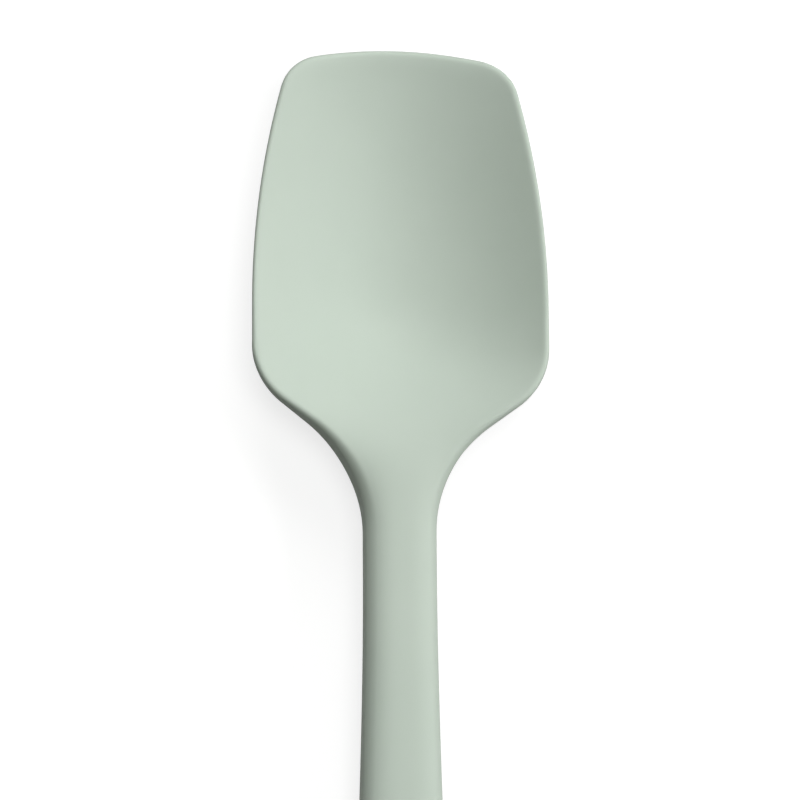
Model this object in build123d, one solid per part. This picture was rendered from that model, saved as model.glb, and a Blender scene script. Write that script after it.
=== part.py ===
"""One-piece silicone spoon spatula: a soft overmould over a hidden glass-filled nylon core.

It lies on its back with the scoop up. X runs across, +Y toward the tip, +Z up out of the scoop.
The origin is below the middle of its length, on the surface that it lies on.
A station is a distance back from the tip, along the axis.
"""

from build123d import *
import math
import os

# Length and head outline, seen from above
overall_length = 285.0
head_width = 59.8
head_side_radius = 190.0
widest_station = 57.0
tip_arc_radius = 74.0
tip_corner_radius = 10.5

# Shoulders and neck: a slanted flank joins the head's side to the handle's
shoulder_station = 68.8
shoulder_radius = 16.0
neck_station = 83.8
neck_radius = 25.5

# Handle outline: narrowest below the neck, then flaring to a round end
waist_width = 13.6
flare_start_station = 106.0
flare_end_gap = 39.0
end_width = 18.2
end_corner_radius = 8.6

# Scoop: depths below the rim line, silicone thickness, and the heel that climbs to the neck
bowl_depth = 12.0
tip_depth = 4.0
deepest_station = 46.0
heel_station = 92.0
floor_thickness = 3.3
rim_thickness = 3.7
edge_rounding = 1.4

# The front face rolls over at the tip, and both faces do at the handle's end
nose_length = 3.6
nose_drop = 0.6
end_roll_length = 16.0
end_roll_drop = 1.6

# Handle section: crowned front and back over upright sides
neck_thickness = 11.5
end_thickness = 14.0
front_crown = 2.2
back_crown = 2.5
crown_start_station = 72.0
crown_end_station = 110.0
side_wall_start_station = 58.0
side_wall_end_station = 88.0

# Hang hole through the handle's end
hang_hole_radius = 4.0
hang_hole_rounding = 1.0
hang_hole_seam_angle = 67.5

# Nylon core: how deep it lies in the silicone
core_side_cover = 2.2
core_handle_cover = 2.2
tongue_front_cover = 0.9
tongue_belly_cover = 1.2
cover_start_station = 60.0
cover_end_station = 88.0

# Core tongue: a narrow strip in the scoop's floor that stops short of the flexible tip, with keying windows
tongue_tip_station = 22.0
tongue_width = 14.0
tongue_tip_radius = 6.0
tongue_root_station = 96.0
tongue_window_radius = 2.2
tongue_window_station = 44.0
tongue_window_pitch = 11.0
tongue_window_count = 3

# Core handle bar: it ends short of the hang hole, with pockets in both faces between cross ribs and a
# window in each pocket's web
bar_end_gap = 3.0
bar_end_radius = 3.0
core_wall = 1.8
web_thickness = 2.4
pocket_count = 5
pocket_rib = 3.0
pocket_corner = 1.2
pocket_window_radius = 1.8

# How far a cutting shape reaches past what it cuts
overrun = 4.0

# Powers of the cross sections: a parabola in the scoop, squarer crowns on the handle
scoop_power = 2.0
front_power = 3.0
back_power = 2.6

# How finely the front and back faces are sampled
face_reach_share = 1.25
face_columns = 17
rows_per_edge = (18, 1, 5, 2, 7, 3, 16, 8)
face_tolerance = 0.03
face_degree = 3
tongue_profile_steps = 14

tip_y = overall_length / 2
flare_end_station = overall_length - flare_end_gap
rim_level = bowl_depth + floor_thickness
web_level = (rim_level - neck_thickness / 2 + end_thickness / 2) / 2
cut_height = rim_level + 2 * overrun
bore_y = end_width / 2 - overall_length / 2
bar_end_y = bore_y + hang_hole_radius + bar_end_gap
pocket_field_length = flare_end_station - flare_start_station - 2 * pocket_rib
pocket_field_y = tip_y - (flare_start_station + flare_end_station) / 2
pocket_pitch = (pocket_field_length + pocket_rib) / pocket_count


def y_at(station):
    return tip_y - station


def smooth(start, end, station):
    """0 before start, 1 after end, and between them an even S with no jump in curvature."""
    share = min(max((station - start) / (end - start), 0.0), 1.0)
    return share**3 * (share * (6 * share - 15) + 10)


def blend(first, second, start, end, station):
    return first + (second - first) * smooth(start, end, station)


def side_edges(inset):
    """The right side of the outline as tangent edges, moved inward, from past the tip to past the end."""
    side_radius = head_side_radius - inset
    past_tip = math.degrees(math.asin((widest_station + overrun) / side_radius))
    head_side_centre = (head_width / 2 - head_side_radius, y_at(widest_station))
    head_side = CenterArc(head_side_centre, side_radius, past_tip, -past_tip)
    flank_angle = math.atan2((head_width - waist_width) / 2, neck_station - shoulder_station)
    corner_shift = inset * math.tan(flank_angle / 2)
    head_x = head_width / 2 - inset
    waist_x = waist_width / 2 - inset
    end_x = end_width / 2 - inset
    shoulder_and_neck = FilletPolyline(
        (head_x, y_at(widest_station)),
        (head_x, y_at(shoulder_station) + corner_shift),
        (waist_x, y_at(neck_station) + corner_shift),
        (waist_x, y_at(flare_start_station)),
        radius=(shoulder_radius - inset, neck_radius + inset),
    )
    flare = Spline(
        (waist_x, y_at(flare_start_station)),
        (end_x, y_at(flare_end_station)),
        tangents=((0, -1), (0, -1)),
    )
    handle_side = Line((end_x, y_at(flare_end_station)), (end_x, y_at(overall_length + overrun)))
    return [head_side.edge(), *shoulder_and_neck.edges(), flare.edge(), handle_side.edge()]


def outline(inset):
    """The plan shape, moved inward: both sides, a broad tip arc with round corners, and the round end."""
    right_sides = side_edges(inset)
    left_sides = [edge.mirror(Plane.YZ) for edge in right_sides]
    across_tip = Line(left_sides[0] @ 0, right_sides[0] @ 0)
    across_end = Line(left_sides[-1] @ 1, right_sides[-1] @ 1)
    blank = make_face([*right_sides, *left_sides, across_tip, across_end])
    tip_disc = Pos(0, y_at(tip_arc_radius)) * Circle(tip_arc_radius - inset)
    length_behind = overall_length - inset - tip_arc_radius
    behind = Pos(0, y_at(tip_arc_radius + length_behind / 2)) * Rectangle(2 * tip_arc_radius, length_behind)
    plan = blank & (tip_disc + behind)
    plan = fillet(plan.vertices().group_by(Axis.Y)[0], end_corner_radius - inset)
    return fillet(plan.vertices().group_by(Axis.Y)[-1], tip_corner_radius - inset)


def scoop_depth(station):
    """How far the scoop's floor lies below the rim line, on the centre line."""
    if station < deepest_station:
        toward_tip = (deepest_station - station) / deepest_station
        return bowl_depth - (bowl_depth - tip_depth) * toward_tip**2
    return bowl_depth * (1 - smooth(deepest_station, heel_station, station))


def ridge_level(station):
    """The rim line, carried on as the top of the handle's crown."""
    return blend(rim_level, end_thickness, flare_start_station, flare_end_station, station)


def handle_thickness(station):
    return blend(neck_thickness, end_thickness, flare_start_station, flare_end_station, station)


def front_edge_level(station):
    return ridge_level(station) - front_crown * smooth(crown_start_station, crown_end_station, station)


def back_edge_level(station):
    crowns = (front_crown + back_crown) * smooth(crown_start_station, crown_end_station, station)
    handle_wall = handle_thickness(station) - crowns
    wall = blend(rim_thickness, handle_wall, side_wall_start_station, side_wall_end_station, station)
    return front_edge_level(station) - wall


def back_centre_level(station):
    belly = rim_level - scoop_depth(min(station, deepest_station)) - floor_thickness
    handle_back = ridge_level(station) - handle_thickness(station)
    return blend(belly, handle_back, deepest_station, crown_end_station, station)


def roll(distance, length, drop):
    """How far a face has rolled over, at a distance inside the edge that it rolls toward."""
    return drop * max(1 - distance / length, 0.0) ** 2


def nose_roll(across, station):
    if station > tip_arc_radius:
        return 0.0
    from_tip_arc = tip_arc_radius - math.hypot(across, tip_arc_radius - station)
    return roll(from_tip_arc, nose_length, nose_drop)


def end_roll(station):
    return roll(overall_length - station, end_roll_length, end_roll_drop)


def front_height(across, half_width, station):
    power = blend(scoop_power, front_power, crown_start_station, crown_end_station, station)
    bulge = 1 - (abs(across) / half_width) ** power
    edge = front_edge_level(station)
    centre = ridge_level(station) - scoop_depth(station)
    return edge + (centre - edge) * bulge - nose_roll(across, station) - end_roll(station)


def back_height(across, half_width, station):
    power = blend(scoop_power, back_power, crown_start_station, crown_end_station, station)
    bulge = 1 - (abs(across) / half_width) ** power
    edge = back_edge_level(station)
    return edge + (back_centre_level(station) - edge) * bulge + end_roll(station)


def formed_face(sides, height):
    """A smooth face through rows of points across the shape, a row for each sampled place on its side."""
    stops = []
    for edge, count in zip(sides, rows_per_edge):
        stops += [edge @ (step / count) for step in range(count)]
    stops.append(sides[-1] @ 1)
    shares = [face_reach_share * (2 * step / (face_columns - 1) - 1) for step in range(face_columns)]
    rows = []
    for stop in stops:
        station = tip_y - stop.Y
        row = [(share * stop.X, height(share * stop.X, stop.X, station)) for share in shares]
        rows.append([Vector(x, stop.Y, z) for x, z in row])
    return Face.make_surface_from_array_of_points(
        rows, tol=face_tolerance, min_deg=face_degree, max_deg=face_degree
    )


def slab():
    """The plan shape between the formed front and back faces."""
    sides = side_edges(0)
    front = formed_face(sides, front_height)
    back = formed_face(sides, back_height)
    blank = Pos(0, 0, -overrun) * extrude(outline(0), amount=cut_height)
    above = Solid.extrude(front, Vector(0, 0, cut_height))
    below = Solid.extrude(back, Vector(0, 0, -cut_height))
    return blank - above - below


def hang_hole():
    """A round cutter right through the handle's end, its seam turned away from the widest wall."""
    bore = extrude(Circle(hang_hole_radius), amount=cut_height)
    return Pos(0, bore_y, -overrun) * Rot(0, 0, hang_hole_seam_angle) * bore


def spatula_form():
    """The whole outer form, with its rim rounded all the way round, and the hang hole."""
    form = slab()
    form = fillet(form.edges() - form.edges().filter_by(Axis.Z), edge_rounding)
    form = form - hang_hole()
    mouths = form.edges().filter_by(lambda edge: edge.is_closed)
    return fillet(mouths, hang_hole_rounding)


def core_plan():
    """The core seen from above: the tongue's strip and the handle bar, kept inside the outline."""
    tongue_length = tongue_root_station - tongue_tip_station
    tongue = Pos(0, y_at(tongue_tip_station + tongue_length / 2)) * Rectangle(tongue_width, tongue_length)
    tongue = fillet(tongue.vertices().group_by(Axis.Y)[-1], tongue_tip_radius)
    bar_length = y_at(tongue_root_station) - bar_end_y
    bar = Pos(0, bar_end_y + bar_length / 2) * Rectangle(end_width, bar_length)
    plan = outline(core_side_cover) & (tongue + bar)
    return fillet(plan.vertices().group_by(Axis.Y)[0], bar_end_radius)


def core_front_point(station):
    cover = blend(tongue_front_cover, core_handle_cover, cover_start_station, cover_end_station, station)
    return (y_at(station), ridge_level(station) - scoop_depth(station) - end_roll(station) - cover)


def core_back_point(station):
    cover = blend(tongue_belly_cover, core_handle_cover, cover_start_station, cover_end_station, station)
    return (y_at(station), back_centre_level(station) + end_roll(station) + cover)


def core_profile():
    """The core seen from the side: its faces follow the scoop to the neck, then run straight to its end."""
    step = (flare_start_station - tongue_tip_station) / tongue_profile_steps
    stations = [tongue_tip_station + step * count for count in range(tongue_profile_steps + 1)]
    bar_end_station = tip_y - bar_end_y
    front = Spline(*[core_front_point(station) for station in stations])
    back = Spline(*[core_back_point(station) for station in stations])
    bar_front = Line(front @ 1, core_front_point(bar_end_station))
    bar_back = Line(back @ 1, core_back_point(bar_end_station))
    tip = Line(front @ 0, back @ 0)
    end = Line(bar_front @ 1, bar_back @ 1)
    return make_face([front.edge(), back.edge(), bar_front.edge(), bar_back.edge(), tip.edge(), end.edge()])


def pocket_plan():
    """The pockets of the handle bar, following its flare, with ribs left between them."""
    field_box = Pos(0, pocket_field_y) * Rectangle(end_width, pocket_field_length)
    field = outline(core_side_cover + core_wall) & field_box
    rib_places = GridLocations(0, pocket_pitch, 1, pocket_count - 1)
    ribs = [Pos(0, pocket_field_y) * place * Rectangle(end_width, pocket_rib) for place in rib_places]
    pockets = field - ribs
    return fillet(pockets.vertices(), pocket_corner)


def window_cutters():
    """The keying windows: a row of them through the tongue, and one in each pocket."""
    tongue_row = GridLocations(0, tongue_window_pitch, 1, tongue_window_count)
    tongue_places = Pos(0, y_at(tongue_window_station)) * tongue_row
    pocket_places = Pos(0, pocket_field_y) * GridLocations(0, pocket_pitch, 1, pocket_count)
    windows = [place * Circle(tongue_window_radius) for place in tongue_places]
    windows += [place * Circle(pocket_window_radius) for place in pocket_places]
    return [Pos(0, 0, -overrun) * extrude(window, amount=cut_height) for window in windows]


def nylon_core():
    """The stiffener: a pocketed bar that ends short of the hang hole, and a thin tongue in the scoop."""
    core = extrude(Plane.YZ * core_profile(), amount=end_width / 2, both=True)
    core = core & Pos(0, 0, -overrun) * extrude(core_plan(), amount=cut_height)
    pockets = pocket_plan()
    upper_pockets = Pos(0, 0, web_level + web_thickness / 2) * extrude(pockets, amount=cut_height)
    lower_pockets = Pos(0, 0, web_level - web_thickness / 2) * extrude(pockets, amount=-cut_height)
    return core - upper_pockets - lower_pockets - window_cutters()


core = nylon_core()
overmould = spatula_form() - core

os.makedirs("parts", exist_ok=True)
export_step(overmould, "parts/silicone_overmould.step")
export_step(core, "parts/nylon_core.step")
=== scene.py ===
"""A one-piece silicone spoon spatula, dressed for the photograph.

The silicone skin replaces the CAD overmould. It starts as a flat shell: two coincident sheets with bands
along the rim, a grid inside them and rings round the hang hole, joined by walls at the rim and in the hole.
A Geometry Nodes tree lifts it into the scoop, the neck and the handle. The nylon core keeps its CAD shape
and gets its moulded finish.
"""

import bpy
import math
import numpy as np
from mathutils import Matrix, Vector


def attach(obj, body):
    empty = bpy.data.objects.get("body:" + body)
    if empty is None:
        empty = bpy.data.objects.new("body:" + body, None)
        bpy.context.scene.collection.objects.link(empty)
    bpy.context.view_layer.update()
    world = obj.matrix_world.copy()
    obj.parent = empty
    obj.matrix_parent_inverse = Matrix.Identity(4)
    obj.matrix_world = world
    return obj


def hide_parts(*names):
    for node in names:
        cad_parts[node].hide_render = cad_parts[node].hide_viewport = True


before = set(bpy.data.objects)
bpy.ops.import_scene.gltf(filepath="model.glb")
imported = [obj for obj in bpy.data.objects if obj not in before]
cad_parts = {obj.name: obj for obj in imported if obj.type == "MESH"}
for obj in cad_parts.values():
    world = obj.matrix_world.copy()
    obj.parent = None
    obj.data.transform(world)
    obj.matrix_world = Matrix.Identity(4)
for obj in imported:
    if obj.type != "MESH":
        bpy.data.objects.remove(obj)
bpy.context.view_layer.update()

MM = 0.001

# The outline, in millimetres. Some sizes follow the photograph closer than the part's source does: the head
# is 0.5 mm narrower with fuller sides and a rounder tip, the waist is 0.7 mm wider, and the handle widens
# sooner
LENGTH = 285.0
TIP_Y = LENGTH / 2
HEAD_WIDTH = 59.3
HEAD_SIDE_RADIUS = 172.0
WIDEST_STATION = 53.6
TIP_ARC_RADIUS = 66.0
TIP_CORNER_RADIUS = 10.3
SHOULDER_STATION = 68.9
SHOULDER_RADIUS = 14.1
NECK_STATION = 84.85
NECK_RADIUS = 26.5
WAIST_WIDTH = 14.3
FLARE_START = 107.0
FLARE_END = 208.0
END_WIDTH = 18.2
END_CORNER_RADIUS = 8.6
HOLE_Y = END_WIDTH / 2 - TIP_Y
HOLE_RADIUS = 4.0

# How finely the outline is drawn and measured, in millimetres and counts of points
LINE_STEP = 0.05
FLARE_POINTS = 2800
TABLE_POINTS = 300
TABLE_OVERRUN = 4.0
WIDTH_TOLERANCE = 0.001

# How finely the skin is laid out, in steps, millimetres and degrees. Steps lie closer at the outline's bends
ACROSS_STEPS = 52
SIDE_STEPS = 420
BEND_WEIGHT = 9
BEND_WINDOW = 61
TIP_CORNER_TURN = 55
END_CORNER_TURN = 50
BAND_OFFSETS = (0.0, 0.06, 0.16, 0.32, 0.52, 0.78, 1.08, 1.42, 1.8, 2.2, 2.7)
HOLE_OFFSETS = (0.0, 0.06, 0.16, 0.32, 0.52, 0.78, 1.08)
HOLE_MARGIN = 1.2
HOLE_RING_SHARES = (0.6, 0.3)
WALL_STEPS = 6
TIP_BEND_REACH = 48.0

# What each point of the shell tells the lifting tree, and the gap of a point that no rounded edge reaches
SHELL_ATTRIBUTES = ("half_width", "depth_share", "rim_gap", "hole_gap")
FAR_GAP = 50.0

# The sizes that the lifting tree asks for, in millimetres. Its flare is where the handle grows thicker
SKIN_SIZES = {
    "Tip Y": TIP_Y,
    "Rim level": 15.3,
    "Bowl depth": 12.0,
    "Tip depth": 4.0,
    "Deepest station": 46.0,
    "Heel station": 92.0,
    "Floor thickness": 3.3,
    "Rim thickness": 3.7,
    "Neck thickness": 11.5,
    "End thickness": 14.0,
    "Front crown": 2.2,
    "Back crown": 2.5,
    "Crown start": 66.0,
    "Crown end": 102.0,
    "Side wall start": 64.0,
    "Side wall end": 94.0,
    "Flare start": 106.0,
    "Flare end": 246.0,
    "Tip arc radius": TIP_ARC_RADIUS,
    "Nose length": 3.6,
    "Nose drop": 0.35,
    "End roll length": 16.0,
    "End roll drop": 1.6,
    "Overall length": LENGTH,
    "Rim rounding": 1.42,
    "Rim lean": 0.9,
    "Lean fade start": 40.0,
    "Lean fade end": 68.0,
    "Handle rounding": 2.0,
    "Hole rounding": 1.0,
}

# How the faces curve from the middle to the edge: 2 is a round hollow, and more keeps the middle flatter
SCOOP_POWER = 2.0
FRONT_CROWN_POWER = 3.0
BACK_CROWN_POWER = 2.6

# The camera, in pixels of the square frame, metres and degrees, with its sensor in millimetres. The target
# point shows at the target pixel
FRAME_PIXELS = 800
FOCAL_PIXELS = 4550
SENSOR_WIDTH = 36
TARGET_PIXEL = (398.6, 453.7)
VIEW_TARGET = (0, 0.060, 0.009)
VIEW_DISTANCE = 0.9
VIEW_PITCH = 11.6
VIEW_YAW = 7.7
VIEW_ROLL = 0.36
NEAR_CLIP = 0.02
FAR_CLIP = 20

# The studio, in metres. Each softbox has its angle round the head, from the right side, its angle above the
# floor, both in degrees, and its power in watts
FLOOR_REACH = 3.0
SOFTBOX_SIZE = 0.9
SOFTBOX_DISTANCE = 1.8
SOFTBOX_AIM = (0, 0.05, 0)
SOFTBOXES = {
    "low_right": (0, 30, 18.8),
    "overhead": (0, 90, 11.0),
    "low_tip": (90, 30, 15.2),
    "high_left": (180, 55, 1.0),
}


def arc(centre, radius, start, end):
    """Points along an arc, its angles in degrees, without the last one."""
    count = max(int(radius * math.radians(abs(end - start)) / LINE_STEP), 2)
    angles = np.radians(start + (end - start) * np.arange(count) / count)
    return np.column_stack([centre[0] + radius * np.cos(angles), centre[1] + radius * np.sin(angles)])


def side_line():
    """The right side of the outline, from the middle of the tip to the middle of the handle's end."""
    side_centre = np.array([HEAD_WIDTH / 2 - HEAD_SIDE_RADIUS, TIP_Y - WIDEST_STATION])
    tip_centre = np.array([0.0, TIP_Y - TIP_ARC_RADIUS])
    to_side = HEAD_SIDE_RADIUS - TIP_CORNER_RADIUS
    to_tip = TIP_ARC_RADIUS - TIP_CORNER_RADIUS
    between = side_centre - tip_centre
    gap = np.linalg.norm(between)
    along = (to_tip**2 - to_side**2 + gap**2) / (2 * gap)
    off = math.sqrt(to_tip**2 - along**2)
    direction = between / gap
    corner = tip_centre + along * direction + off * np.array([direction[1], -direction[0]])
    tip_angle = math.degrees(math.atan2(corner[1] - tip_centre[1], corner[0] - tip_centre[0]))
    side_angle = math.degrees(math.atan2(corner[1] - side_centre[1], corner[0] - side_centre[0]))
    runs = [
        arc(tip_centre, TIP_ARC_RADIUS, 90, tip_angle),
        arc(corner, TIP_CORNER_RADIUS, tip_angle, side_angle),
        arc(side_centre, HEAD_SIDE_RADIUS, side_angle, 0),
    ]
    head_x, waist_x, end_x = HEAD_WIDTH / 2, WAIST_WIDTH / 2, END_WIDTH / 2
    shoulder_y, neck_y = TIP_Y - SHOULDER_STATION, TIP_Y - NECK_STATION
    flank = math.atan2(head_x - waist_x, shoulder_y - neck_y)
    shoulder_run = SHOULDER_RADIUS * math.tan(flank / 2)
    neck_run = NECK_RADIUS * math.tan(flank / 2)
    turn = math.degrees(flank)
    runs.append(np.array([[head_x, TIP_Y - WIDEST_STATION]]))
    shoulder_centre = (head_x - SHOULDER_RADIUS, shoulder_y + shoulder_run)
    runs.append(arc(shoulder_centre, SHOULDER_RADIUS, 0, -turn))
    neck_centre = (waist_x + NECK_RADIUS, neck_y - neck_run)
    runs.append(arc(neck_centre, NECK_RADIUS, 180 - turn, 180))
    share = np.linspace(0, 1, FLARE_POINTS)
    flare_x = waist_x + (end_x - waist_x) * share**2 * (3 - 2 * share)
    runs.append(np.column_stack([flare_x, TIP_Y - FLARE_START - share * (FLARE_END - FLARE_START)]))
    end_centre = (end_x - END_CORNER_RADIUS, END_CORNER_RADIUS - TIP_Y)
    runs.append(arc(end_centre, END_CORNER_RADIUS, 0, -90))
    runs.append(np.array([[end_x - END_CORNER_RADIUS, -TIP_Y], [0.0, -TIP_Y]]))
    line = np.vstack(runs)
    dense = [line[:1]]
    for first, second in zip(line[:-1], line[1:]):
        count = max(int(np.linalg.norm(second - first) / LINE_STEP), 1)
        dense.append(first + (second - first) * (np.arange(1, count + 1) / count)[:, None])
    return np.vstack(dense)


def half_width_table():
    """Half the outline's width at each station, with the head's side carried on past the tip's corner."""
    line = side_line()
    stations = TIP_Y - line[:, 1]
    full_width = line[:, 0] > END_WIDTH / 2 - WIDTH_TOLERANCE
    keep = (stations > WIDEST_STATION) & (full_width | (stations < FLARE_END))
    lower_stations = stations[keep]
    lower_widths = line[keep, 0]
    order = np.argsort(lower_stations)
    tip_stations = np.linspace(-TABLE_OVERRUN, WIDEST_STATION, TABLE_POINTS)
    tip_widths = (
        HEAD_WIDTH / 2
        - HEAD_SIDE_RADIUS
        + np.sqrt(HEAD_SIDE_RADIUS**2 - (WIDEST_STATION - tip_stations) ** 2)
    )
    return (
        np.concatenate([tip_stations, lower_stations[order], [LENGTH + TABLE_OVERRUN]]),
        np.concatenate([tip_widths, lower_widths[order], [END_WIDTH / 2]]),
    )


def spaced(line, start, end, count, weight):
    """Points between two places on a line, closer together where the weight is higher."""
    piece = line[start : end + 1]
    run = np.concatenate([[0], np.cumsum(np.linalg.norm(np.diff(piece, axis=0), axis=1) * weight[start:end])])
    places = np.linspace(0, run[-1], count + 1)
    return np.column_stack([np.interp(places, run, piece[:, axis]) for axis in (0, 1)])


def inward(loop):
    """The unit normal at each point of a closed clockwise loop, pointing into it."""
    along = np.roll(loop, -1, axis=0) - np.roll(loop, 1, axis=0)
    along /= np.linalg.norm(along, axis=1)[:, None]
    return np.column_stack([along[:, 1], -along[:, 0]])


def outline_loop():
    """The closed outline, clockwise from the top left corner: tip, right side, end, left side."""
    line = side_line()
    heading = np.unwrap(np.arctan2(*np.diff(line, axis=0).T[::-1]))
    bend = np.abs(np.gradient(heading)) / LINE_STEP
    weight = 1 + BEND_WEIGHT * np.convolve(bend, np.ones(BEND_WINDOW) / BEND_WINDOW, mode="same")
    weight = np.append(weight, weight[-1])
    turning = np.abs(heading - heading[0])
    corner = int(np.argmax(turning > math.radians(TIP_CORNER_TURN)))
    still_to_turn = turning[-1] - turning[::-1]
    end_corner = len(line) - 1 - int(np.argmax(still_to_turn > math.radians(END_CORNER_TURN)))
    half_tip = spaced(line, 0, corner, ACROSS_STEPS // 2, weight)
    side = spaced(line, corner, end_corner, SIDE_STEPS, weight)
    half_end = spaced(line, end_corner, len(line) - 1, ACROSS_STEPS // 2, weight)
    right = np.vstack([half_tip, side[1:], half_end[1:]])
    left = right[1:-1][::-1] * np.array([-1, 1])
    loop = np.vstack([right, left])
    return np.roll(loop, ACROSS_STEPS // 2, axis=0)


def moved_in(loop, distance):
    """A closed clockwise loop, moved into itself by a distance."""
    return loop + inward(loop) * distance


def bent_rows(top, left, right):
    """A grid between two sides: its rows bend with the tip at first and soon run straight across."""
    chord = top[-1] - top[0]
    along = (top - top[0]) @ chord / (chord @ chord)
    sag = top - top[0] - along[:, None] * chord
    even = np.linspace(0, 1, len(top))
    fall = np.clip((top[0][1] - left[:, 1]) / TIP_BEND_REACH, 0, 1)
    keep = (1 - fall**2 * (3 - 2 * fall))[:, None]
    share = (even + (along - even) * keep)[:, :, None]
    return left[:, None] * (1 - share) + right[:, None] * share + keep[:, :, None] * sag[None]


def flat_sheet():
    """One sheet of the shell: its points, their gaps to the rim and the hole, its faces and its two edges."""
    loop = outline_loop()
    count = len(loop)
    points = []
    faces = []
    rim_gap = []

    # Bands that follow the rim
    for offset in BAND_OFFSETS:
        points.append(moved_in(loop, offset))
        rim_gap.append(np.full(count, offset))
    for ring in range(len(BAND_OFFSETS) - 1):
        for step in range(count):
            after = (step + 1) % count
            a, b = ring * count + step, ring * count + after
            faces.append((a, b, b + count, a + count))

    # The four sides of the last band, each read from the tip or from the left
    inner = points[-1]
    inner_start = (len(BAND_OFFSETS) - 1) * count
    total = inner_start + count
    across, down = ACROSS_STEPS, SIDE_STEPS
    top_ids = [inner_start + i for i in range(across + 1)]
    right_ids = [inner_start + across + i for i in range(down + 1)]
    bottom_ids = [inner_start + across + down + i for i in range(across + 1)][::-1]
    left_ids = [inner_start + (2 * across + down + i) % count for i in range(down + 1)][::-1]

    # A grid inside the bands, from the tip to just before the hole
    right_y = np.array([inner[i - inner_start][1] for i in right_ids])
    hole_reach = HOLE_RADIUS + HOLE_OFFSETS[-1]
    last_row = int(np.argmax(right_y < HOLE_Y + hole_reach + HOLE_MARGIN))
    top = inner[[i - inner_start for i in top_ids]]
    right = inner[[i - inner_start for i in right_ids[: last_row + 1]]]
    left = inner[[i - inner_start for i in left_ids[: last_row + 1]]]
    grid = bent_rows(top, left, right)
    ids = np.zeros((last_row + 1, across + 1), int)
    ids[0] = top_ids
    ids[:, 0] = left_ids[: last_row + 1]
    ids[:, -1] = right_ids[: last_row + 1]
    fresh = []
    for row in range(1, last_row + 1):
        for column in range(1, across):
            ids[row, column] = total + len(fresh)
            fresh.append(grid[row, column])
    points.append(np.array(fresh))
    rim_gap.append(np.full(len(fresh), FAR_GAP))
    total += len(fresh)
    for upper, lower in zip(ids[:-1], ids[1:]):
        for column in range(across):
            faces.append((upper[column], upper[column + 1], lower[column + 1], lower[column]))

    # Rings from the border that is left open to the hole's edge
    around = (
        list(ids[-1])
        + right_ids[last_row + 1 :]
        + bottom_ids[::-1][1:]
        + left_ids[last_row + 1 : -1][::-1]
    )
    everything = np.vstack(points)
    border = everything[around]
    hole_centre = np.array([0.0, HOLE_Y])
    outward = border - hole_centre
    outward /= np.linalg.norm(outward, axis=1)[:, None]
    rings = []
    edge = hole_centre + outward * hole_reach
    for share in HOLE_RING_SHARES:
        rings.append((edge + (border - edge) * share, FAR_GAP))
    for offset in HOLE_OFFSETS[::-1]:
        rings.append((hole_centre + outward * (HOLE_RADIUS + offset), offset))
    previous = around
    hole_gap = [np.full(total, FAR_GAP)]
    for ring, offset in rings:
        current = [total + i for i in range(len(around))]
        points.append(ring)
        rim_gap.append(np.full(len(around), FAR_GAP))
        hole_gap.append(np.full(len(around), offset))
        for step in range(len(around)):
            after = (step + 1) % len(around)
            faces.append((previous[step], previous[after], current[after], current[step]))
        previous = current
        total += len(around)
    rim = list(range(count))
    return np.vstack(points), np.concatenate(rim_gap), np.concatenate(hole_gap), faces, rim, previous


def flat_shell():
    """Both sheets and the walls between them, flat, as a closed mesh with what the lifting tree reads."""
    points, rim_gap, hole_gap, faces, rim, mouth = flat_sheet()
    count = len(points)
    stations, widths = half_width_table()
    all_points = [points, points]
    depth_share = [np.zeros(count), np.ones(count)]
    gaps = [rim_gap, rim_gap]
    hole_gaps = [hole_gap, hole_gap]
    quads = [tuple(reversed(face)) for face in faces]
    quads += [tuple(index + count for index in face) for face in faces]
    total = 2 * count
    for border, outer in ((rim, True), (mouth, False)):
        layers = [border]
        for step in range(1, WALL_STEPS):
            layers.append([total + i for i in range(len(border))])
            all_points.append(points[border])
            depth_share.append(np.full(len(border), step / WALL_STEPS))
            gaps.append(rim_gap[border])
            hole_gaps.append(hole_gap[border])
            total += len(border)
        layers.append([index + count for index in border])
        for upper, lower in zip(layers[:-1], layers[1:]):
            for step in range(len(border)):
                after = (step + 1) % len(border)
                face = (upper[step], upper[after], lower[after], lower[step])
                quads.append(face if outer else tuple(reversed(face)))
    flat = np.vstack(all_points)
    mesh = bpy.data.meshes.new("silicone_skin")
    mesh.from_pydata(np.column_stack([flat * MM, np.zeros(total)]).tolist(), [], quads)
    half_widths = np.interp(TIP_Y - flat[:, 1], stations, widths)
    shell_values = (half_widths, np.concatenate(depth_share), np.concatenate(gaps), np.concatenate(hole_gaps))
    for name, values in zip(SHELL_ATTRIBUTES, shell_values):
        mesh.attributes.new(name, "FLOAT", "POINT").data.foreach_set("value", values.astype(np.float32))
    return mesh


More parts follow.
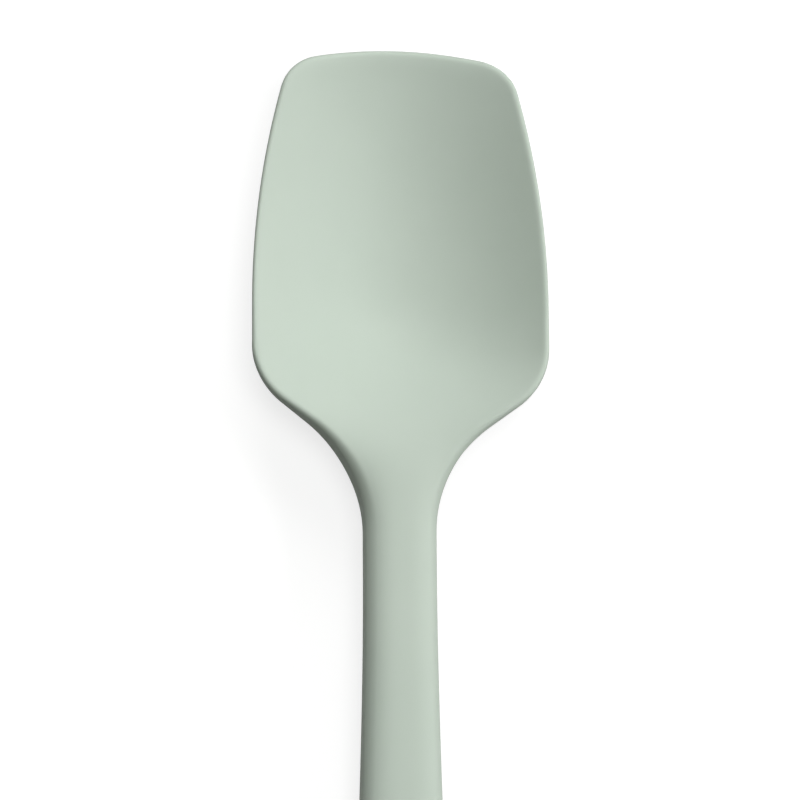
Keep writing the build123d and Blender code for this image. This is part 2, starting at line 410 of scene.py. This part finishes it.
class Tree:
    """A Geometry Nodes tree that is written as sums, with a named input for each size."""

    def __init__(self, name, sizes):
        self.group = bpy.data.node_groups.new(name, "GeometryNodeTree")
        face = self.group.interface
        face.new_socket("Geometry", in_out="INPUT", socket_type="NodeSocketGeometry")
        face.new_socket("Geometry", in_out="OUTPUT", socket_type="NodeSocketGeometry")
        self.sockets = {}
        for label, value in sizes.items():
            socket = face.new_socket(label, in_out="INPUT", socket_type="NodeSocketFloat")
            socket.default_value = value
            self.sockets[label] = socket.identifier
        finish = face.new_socket("Finish", in_out="INPUT", socket_type="NodeSocketMaterial")
        self.sockets["Finish"] = finish.identifier
        self.inputs = self.group.nodes.new("NodeGroupInput")
        self.outputs = self.group.nodes.new("NodeGroupOutput")

    def size(self, label):
        return self.inputs.outputs[label]

    def link(self, source, socket):
        if isinstance(source, (int, float)):
            socket.default_value = source
        else:
            self.group.links.new(source, socket)

    def node(self, kind, **settings):
        made = self.group.nodes.new(kind)
        for key, value in settings.items():
            setattr(made, key, value)
        return made

    def math(self, operation, *values):
        made = self.node("ShaderNodeMath", operation=operation)
        for socket, value in zip(made.inputs, values):
            self.link(value, socket)
        return made.outputs[0]

    def add(self, first, second):
        return self.math("ADD", first, second)

    def less(self, first, second):
        return self.math("SUBTRACT", first, second)

    def times(self, first, second):
        return self.math("MULTIPLY", first, second)

    def over(self, first, second):
        return self.math("DIVIDE", first, second)

    def power(self, first, second):
        return self.math("POWER", first, second)

    def ease(self, station, start, end, first, second):
        """first before start, second after end, and an even S between them."""
        made = self.node("ShaderNodeMapRange", interpolation_type="SMOOTHERSTEP")
        for label, value in (
            ("Value", station),
            ("From Min", start),
            ("From Max", end),
            ("To Min", first),
            ("To Max", second),
        ):
            self.link(value, made.inputs[label])
        return made.outputs["Result"]

    def attribute(self, name):
        made = self.node("GeometryNodeInputNamedAttribute", data_type="FLOAT")
        made.inputs["Name"].default_value = name
        return made.outputs["Attribute"]

    def rolled(self, distance, length, drop):
        """How far a face has rolled over at a distance inside the edge that it rolls toward."""
        inside = self.math("MAXIMUM", self.less(1.0, self.over(distance, length)), 0.0)
        return self.times(drop, self.power(inside, 2.0))

    def rounded(self, gap, radius):
        """How far a rounded edge has dropped at a distance inside it."""
        inside = self.math("MAXIMUM", self.less(radius, gap), 0.0)
        rest = self.less(self.power(radius, 2.0), self.power(inside, 2.0))
        return self.less(radius, self.math("SQRT", self.math("MAXIMUM", rest, 0.0)))


def lifting_tree():
    """Lifts the flat shell: the front sheet to the scoop and crown, the back sheet to the belly and back."""
    t = Tree("lift_spatula", SKIN_SIZES)
    size = t.size
    position = t.node("GeometryNodeInputPosition").outputs[0]
    place = t.node("ShaderNodeSeparateXYZ")
    t.link(position, place.inputs[0])
    x = t.times(place.outputs["X"], 1 / MM)
    y = t.times(place.outputs["Y"], 1 / MM)
    station = t.less(size("Tip Y"), y)
    share = t.over(t.math("ABSOLUTE", x), t.attribute("half_width"))

    # The levels that both faces start from
    ridge = t.ease(station, size("Flare start"), size("Flare end"), size("Rim level"), size("End thickness"))
    thickness = t.ease(
        station, size("Flare start"), size("Flare end"), size("Neck thickness"), size("End thickness")
    )
    crown = t.ease(station, size("Crown start"), size("Crown end"), 0.0, 1.0)
    front_edge = t.less(ridge, t.times(size("Front crown"), crown))

    # The front face: the scoop, its heel and the handle's crown
    toward_tip = t.over(t.less(size("Deepest station"), station), size("Deepest station"))
    toward_tip = t.math("MAXIMUM", toward_tip, 0.0)
    tip_rise = t.times(t.less(size("Bowl depth"), size("Tip depth")), t.power(toward_tip, 2.0))
    heel = t.ease(station, size("Deepest station"), size("Heel station"), size("Bowl depth"), 0.0)
    depth = t.less(heel, tip_rise)
    front_centre = t.less(ridge, depth)
    front_power = t.ease(station, size("Crown start"), size("Crown end"), SCOOP_POWER, FRONT_CROWN_POWER)
    front_bulge = t.less(1.0, t.power(share, front_power))
    front = t.add(front_edge, t.times(t.less(front_centre, front_edge), front_bulge))

    # The lip at the tip and the rolled end of the handle
    before_centre = t.math("MAXIMUM", t.less(size("Tip arc radius"), station), 0.0)
    from_centre = t.math("SQRT", t.add(t.power(t.math("ABSOLUTE", x), 2.0), t.power(before_centre, 2.0)))
    from_arc = t.less(size("Tip arc radius"), from_centre)
    near_tip = t.math("LESS_THAN", station, size("Tip arc radius"))
    nose = t.times(near_tip, t.rolled(from_arc, size("Nose length"), size("Nose drop")))
    from_end = t.less(size("Overall length"), station)
    end_roll = t.rolled(from_end, size("End roll length"), size("End roll drop"))
    front = t.less(t.less(front, nose), end_roll)

    # The back face: the scoop's belly and the handle's crowned back
    crowns = t.times(t.add(size("Front crown"), size("Back crown")), crown)
    handle_wall = t.less(thickness, crowns)
    wall = t.ease(
        station, size("Side wall start"), size("Side wall end"), size("Rim thickness"), handle_wall
    )
    back_edge = t.less(front_edge, wall)
    belly = t.less(t.add(t.less(size("Rim level"), size("Bowl depth")), tip_rise), size("Floor thickness"))
    back_centre = t.ease(
        station, size("Deepest station"), size("Crown end"), belly, t.less(ridge, thickness)
    )
    back_power = t.ease(station, size("Crown start"), size("Crown end"), SCOOP_POWER, BACK_CROWN_POWER)
    back_bulge = t.less(1.0, t.power(share, back_power))
    back = t.add(back_edge, t.times(t.less(back_centre, back_edge), back_bulge))
    back = t.add(back, end_roll)

    # The rounded edges, and the walls between the two faces
    rounding = t.ease(
        station, size("Side wall start"), size("Crown end"), size("Rim rounding"), size("Handle rounding")
    )
    rim_drop = t.rounded(t.attribute("rim_gap"), rounding)
    hole_drop = t.rounded(t.attribute("hole_gap"), size("Hole rounding"))
    drop = t.add(rim_drop, hole_drop)
    front = t.less(front, drop)
    back = t.add(back, drop)
    mix = t.attribute("depth_share")
    level = t.add(front, t.times(t.less(back, front), mix))

    # The head's outside leans in toward its back
    lean = t.ease(station, size("Lean fade start"), size("Lean fade end"), size("Rim lean"), 0.0)
    narrowed = t.less(1.0, t.over(t.times(lean, mix), t.attribute("half_width")))
    lifted = t.node("ShaderNodeCombineXYZ")
    t.link(t.times(place.outputs["X"], narrowed), lifted.inputs["X"])
    t.link(place.outputs["Y"], lifted.inputs["Y"])
    t.link(t.times(level, MM), lifted.inputs["Z"])

    moved = t.node("GeometryNodeSetPosition")
    t.link(t.inputs.outputs["Geometry"], moved.inputs["Geometry"])
    t.link(lifted.outputs[0], moved.inputs["Position"])
    smooth = t.node("GeometryNodeSetShadeSmooth")
    t.link(moved.outputs[0], smooth.inputs["Geometry"])
    real = t.node("GeometryNodeRealizeInstances")
    t.link(smooth.outputs[0], real.inputs["Geometry"])
    finish = t.node("GeometryNodeSetMaterial")
    t.link(real.outputs[0], finish.inputs["Geometry"])
    t.link(t.inputs.outputs["Finish"], finish.inputs["Material"])
    t.link(finish.outputs[0], t.outputs.inputs["Geometry"])
    return t


def made_real(source, tree, sizes, material, name):
    """The tree's result on a mesh, as a plain mesh of its own."""
    holder = bpy.data.objects.new(name + "_source", source)
    bpy.context.scene.collection.objects.link(holder)
    modifier = holder.modifiers.new(tree.group.name, "NODES")
    modifier.node_group = tree.group
    for label, value in sizes.items():
        modifier[tree.sockets[label]] = value
    modifier[tree.sockets["Finish"]] = material
    evaluated = holder.evaluated_get(bpy.context.evaluated_depsgraph_get())
    mesh = bpy.data.meshes.new_from_object(evaluated)
    bpy.data.objects.remove(holder)
    mesh.name = name
    for attribute in SHELL_ATTRIBUTES:
        if attribute in mesh.attributes:
            mesh.attributes.remove(mesh.attributes[attribute])
    piece = bpy.data.objects.new(name, mesh)
    bpy.context.scene.collection.objects.link(piece)
    return piece


def shader(name):
    """A new material, with its nodes, its links and its main shader."""
    material = bpy.data.materials.new(name)
    material.use_nodes = True
    nodes = material.node_tree.nodes
    return material, nodes, material.node_tree.links, nodes["Principled BSDF"]


def sage_silicone():
    """Matt sage silicone: a faint mould texture, a slight drift of colour and a soft bloom at the edges."""
    material, nodes, links, surface = shader("sage_silicone")
    place = nodes.new("ShaderNodeTexCoord")
    drift = nodes.new("ShaderNodeTexNoise")
    drift.inputs["Scale"].default_value = 28
    drift.inputs["Detail"].default_value = 3
    links.new(place.outputs["Object"], drift.inputs["Vector"])
    tint = nodes.new("ShaderNodeValToRGB")
    tint.color_ramp.elements[0].position = 0.3
    tint.color_ramp.elements[0].color = (0.512, 0.585, 0.516, 1)
    tint.color_ramp.elements[1].position = 0.7
    tint.color_ramp.elements[1].color = (0.543, 0.615, 0.544, 1)
    links.new(drift.outputs["Fac"], tint.inputs["Fac"])
    links.new(tint.outputs["Color"], surface.inputs["Base Color"])
    grain = nodes.new("ShaderNodeTexNoise")
    grain.inputs["Scale"].default_value = 2600
    grain.inputs["Detail"].default_value = 2
    links.new(place.outputs["Object"], grain.inputs["Vector"])
    bump = nodes.new("ShaderNodeBump")
    bump.inputs["Strength"].default_value = 0.12
    bump.inputs["Distance"].default_value = 0.00005
    links.new(grain.outputs["Fac"], bump.inputs["Height"])
    links.new(bump.outputs["Normal"], surface.inputs["Normal"])
    dust = nodes.new("ShaderNodeMapRange")
    dust.inputs["To Min"].default_value = 0.56
    dust.inputs["To Max"].default_value = 0.66
    links.new(drift.outputs["Fac"], dust.inputs["Value"])
    links.new(dust.outputs["Result"], surface.inputs["Roughness"])
    surface.inputs["IOR"].default_value = 1.41
    surface.inputs["Subsurface Weight"].default_value = 0.12
    surface.inputs["Subsurface Radius"].default_value = (0.9, 1.0, 0.8)
    surface.inputs["Subsurface Scale"].default_value = 0.0012
    surface.inputs["Specular IOR Level"].default_value = 0.22
    surface.inputs["Sheen Weight"].default_value = 0.03
    surface.inputs["Sheen Roughness"].default_value = 0.5
    return material


def natural_nylon():
    """Glass-filled nylon as it comes from the mould: fine short fibres under a dull skin."""
    material, nodes, links, surface = shader("natural_nylon")
    place = nodes.new("ShaderNodeTexCoord")
    stretch = nodes.new("ShaderNodeMapping")
    stretch.inputs["Scale"].default_value = (1400, 260, 1400)
    links.new(place.outputs["Object"], stretch.inputs["Vector"])
    fibres = nodes.new("ShaderNodeTexNoise")
    fibres.inputs["Scale"].default_value = 1
    fibres.inputs["Detail"].default_value = 4
    links.new(stretch.outputs["Vector"], fibres.inputs["Vector"])
    tint = nodes.new("ShaderNodeValToRGB")
    tint.color_ramp.elements[0].color = (0.66, 0.64, 0.57, 1)
    tint.color_ramp.elements[1].color = (0.76, 0.745, 0.69, 1)
    links.new(fibres.outputs["Fac"], tint.inputs["Fac"])
    links.new(tint.outputs["Color"], surface.inputs["Base Color"])
    bump = nodes.new("ShaderNodeBump")
    bump.inputs["Strength"].default_value = 0.25
    bump.inputs["Distance"].default_value = 0.00008
    links.new(fibres.outputs["Fac"], bump.inputs["Height"])
    links.new(bump.outputs["Normal"], surface.inputs["Normal"])
    surface.inputs["Roughness"].default_value = 0.52
    return material


def camera():
    """The photograph's view: from above the bowl, a little toward the handle and the left."""
    pitch, yaw, roll = math.radians(VIEW_PITCH), math.radians(VIEW_YAW), math.radians(VIEW_ROLL)
    back = Vector((-math.sin(yaw), -math.sin(pitch) * math.cos(yaw), math.cos(pitch) * math.cos(yaw)))
    upright = Vector((0, 1, 0)) - back * back.y
    upright.normalize()
    right = upright.cross(back)
    up = math.cos(roll) * upright + math.sin(roll) * right
    right = up.cross(back)
    data = bpy.data.cameras.new("camera")
    data.lens = FOCAL_PIXELS * SENSOR_WIDTH / FRAME_PIXELS
    data.clip_start = NEAR_CLIP
    data.clip_end = FAR_CLIP
    data.shift_x = (FRAME_PIXELS / 2 - TARGET_PIXEL[0]) / FRAME_PIXELS
    data.shift_y = (TARGET_PIXEL[1] - FRAME_PIXELS / 2) / FRAME_PIXELS
    view = bpy.data.objects.new("camera", data)
    bpy.context.scene.collection.objects.link(view)
    spot = Vector(VIEW_TARGET) + back * VIEW_DISTANCE
    view.matrix_world = Matrix(
        (
            (right.x, up.x, back.x, spot.x),
            (right.y, up.y, back.y, spot.y),
            (right.z, up.z, back.z, spot.z),
            (0, 0, 0, 1),
        )
    )
    bpy.context.scene.camera = view


def lamp(name, around, above, power):
    """A square softbox that faces the head from two angles in degrees: round it, and above the floor."""
    around, above = math.radians(around), math.radians(above)
    data = bpy.data.lights.new(name, "AREA")
    data.shape = "SQUARE"
    data.size = SOFTBOX_SIZE
    data.energy = power
    made = bpy.data.objects.new(name, data)
    bpy.context.scene.collection.objects.link(made)
    toward = Vector((math.cos(above) * math.cos(around), math.cos(above) * math.sin(around), math.sin(above)))
    made.rotation_euler = toward.to_track_quat("Z", "Y").to_euler()
    made.location = Vector(SOFTBOX_AIM) + toward * SOFTBOX_DISTANCE


def background_rays(nodes, links):
    """One for a ray that shows the background: from the camera, or sent on by gloss or by clear stuff."""
    path = nodes.new("ShaderNodeLightPath")
    seen = path.outputs["Is Camera Ray"]
    for ray in ("Is Glossy Ray", "Is Transmission Ray"):
        either = nodes.new("ShaderNodeMath")
        either.operation = "MAXIMUM"
        links.new(seen, either.inputs[0])
        links.new(path.outputs[ray], either.inputs[1])
        seen = either.outputs[0]
    return seen


def pale_floor():
    """A floor that is white to the camera, keeps the shadow and throws little light back at the part."""
    mesh = bpy.data.meshes.new("floor")
    corners = [(-1, -1), (1, -1), (1, 1), (-1, 1)]
    mesh.from_pydata([(x * FLOOR_REACH, y * FLOOR_REACH, 0) for x, y in corners], [], [(0, 1, 2, 3)])
    floor = bpy.data.objects.new("floor", mesh)
    bpy.context.scene.collection.objects.link(floor)
    material, nodes, links, surface = shader("pale_floor")
    nodes.remove(surface)
    output = nodes["Material Output"]
    matt = nodes.new("ShaderNodeBsdfDiffuse")
    matt.inputs["Color"].default_value = (0.08, 0.078, 0.066, 1)
    pale = nodes.new("ShaderNodeBsdfDiffuse")
    pale.inputs["Color"].default_value = (0.4, 0.4, 0.4, 1)
    glow = nodes.new("ShaderNodeEmission")
    glow.inputs["Strength"].default_value = 0.75
    both = nodes.new("ShaderNodeAddShader")
    links.new(pale.outputs[0], both.inputs[0])
    links.new(glow.outputs[0], both.inputs[1])
    chosen = nodes.new("ShaderNodeMixShader")
    links.new(background_rays(nodes, links), chosen.inputs[0])
    links.new(matt.outputs[0], chosen.inputs[1])
    links.new(both.outputs[0], chosen.inputs[2])
    links.new(chosen.outputs[0], output.inputs["Surface"])
    mesh.materials.append(material)


def studio_light():
    """Softboxes that favour the right and the tip, a weak fill, and a backdrop white to the camera."""
    world = bpy.data.worlds.new("studio")
    bpy.context.scene.world = world
    world.use_nodes = True
    nodes, links = world.node_tree.nodes, world.node_tree.links
    backdrop = nodes["Background"]
    backdrop.inputs["Color"].default_value = (1, 1, 1, 1)
    fill = nodes.new("ShaderNodeBackground")
    fill.inputs["Color"].default_value = (0.92, 1.0, 0.88, 1)
    fill.inputs["Strength"].default_value = 0.1
    chosen = nodes.new("ShaderNodeMixShader")
    links.new(background_rays(nodes, links), chosen.inputs[0])
    links.new(fill.outputs[0], chosen.inputs[1])
    links.new(backdrop.outputs[0], chosen.inputs[2])
    links.new(chosen.outputs[0], nodes["World Output"].inputs["Surface"])

    for name, (around, above, power) in SOFTBOXES.items():
        lamp(name, around, above, power)


silicone = sage_silicone()
skin = made_real(flat_shell(), lifting_tree(), SKIN_SIZES, silicone, "silicone_skin")
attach(skin, "root")
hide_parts("silicone_overmould")

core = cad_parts["nylon_core"]
core.data.materials.clear()
core.data.materials.append(natural_nylon())

camera()
pale_floor()
studio_light()
bpy.context.scene.view_settings.view_transform = "Standard"
